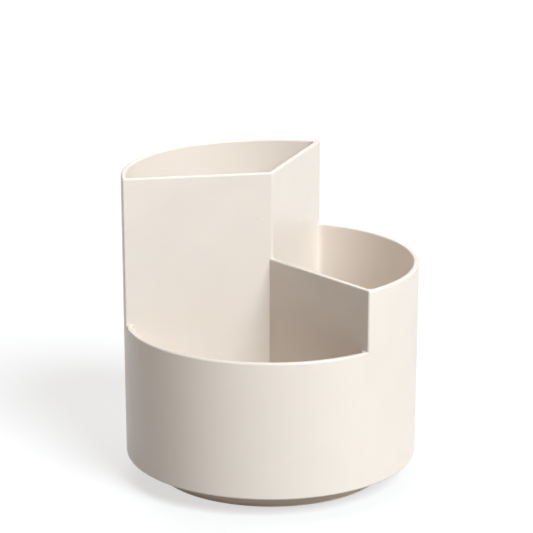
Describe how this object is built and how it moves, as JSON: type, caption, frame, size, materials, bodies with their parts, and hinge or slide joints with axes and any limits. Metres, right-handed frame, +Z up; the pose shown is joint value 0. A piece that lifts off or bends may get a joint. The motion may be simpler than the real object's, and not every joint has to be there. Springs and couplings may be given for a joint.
{
  "type": "rotating desk organizer",
  "caption": "Round desk organizer with compartments at stepped heights, turning on a ball race above a small round base with rubber foot pads.",
  "frame": {"origin": "on the spin axis, on the surface that the foot pads stand on", "axes": "+Z up along the spin axis; -Y towards the low compartment's side of the cup; +X towards the middle compartment"},
  "size_m": [0.1158, 0.1157, 0.1212],
  "materials": {
    "cup_plastic": "satin moulded cream",
    "base_plastic": "satin moulded cream",
    "cage_plastic": "smooth natural white",
    "ball_steel": "polished",
    "zinc_steel": "zinc plated",
    "foot_rubber": "matte"
  },
  "bodies": {
    "base": {"base_disc": "base_plastic", "foot_pad_1": "foot_rubber", "foot_pad_2": "foot_rubber", "foot_pad_3": "foot_rubber", "foot_pad_4": "foot_rubber"},
    "cup": {"cup": "cup_plastic", "pivot_screw": "zinc_steel", "pivot_washer": "zinc_steel"},
    "cage": {"ball_cage": "cage_plastic", "bearing_ball_01": "ball_steel", "bearing_ball_02": "ball_steel", "bearing_ball_03": "ball_steel", "bearing_ball_04": "ball_steel", "bearing_ball_05": "ball_steel", "bearing_ball_06": "ball_steel", "bearing_ball_07": "ball_steel", "bearing_ball_08": "ball_steel", "bearing_ball_09": "ball_steel", "bearing_ball_10": "ball_steel", "bearing_ball_11": "ball_steel", "bearing_ball_12": "ball_steel"}
  },
  "joints": [
    {"name": "cup_spin", "type": "hinge", "parent": "base", "child": "cup", "pos_m": [0, 0, 0.0082], "axis": [0, 0, 1], "continuous": true},
    {"name": "cage_spin", "type": "hinge", "parent": "base", "child": "cage", "pos_m": [0, 0, 0.0071], "axis": [0, 0, 1], "continuous": true}
  ],
  "couplings": [
    {"joint": "cage_spin", "follows": "cup_spin", "ratio": 0.5}
  ]
}
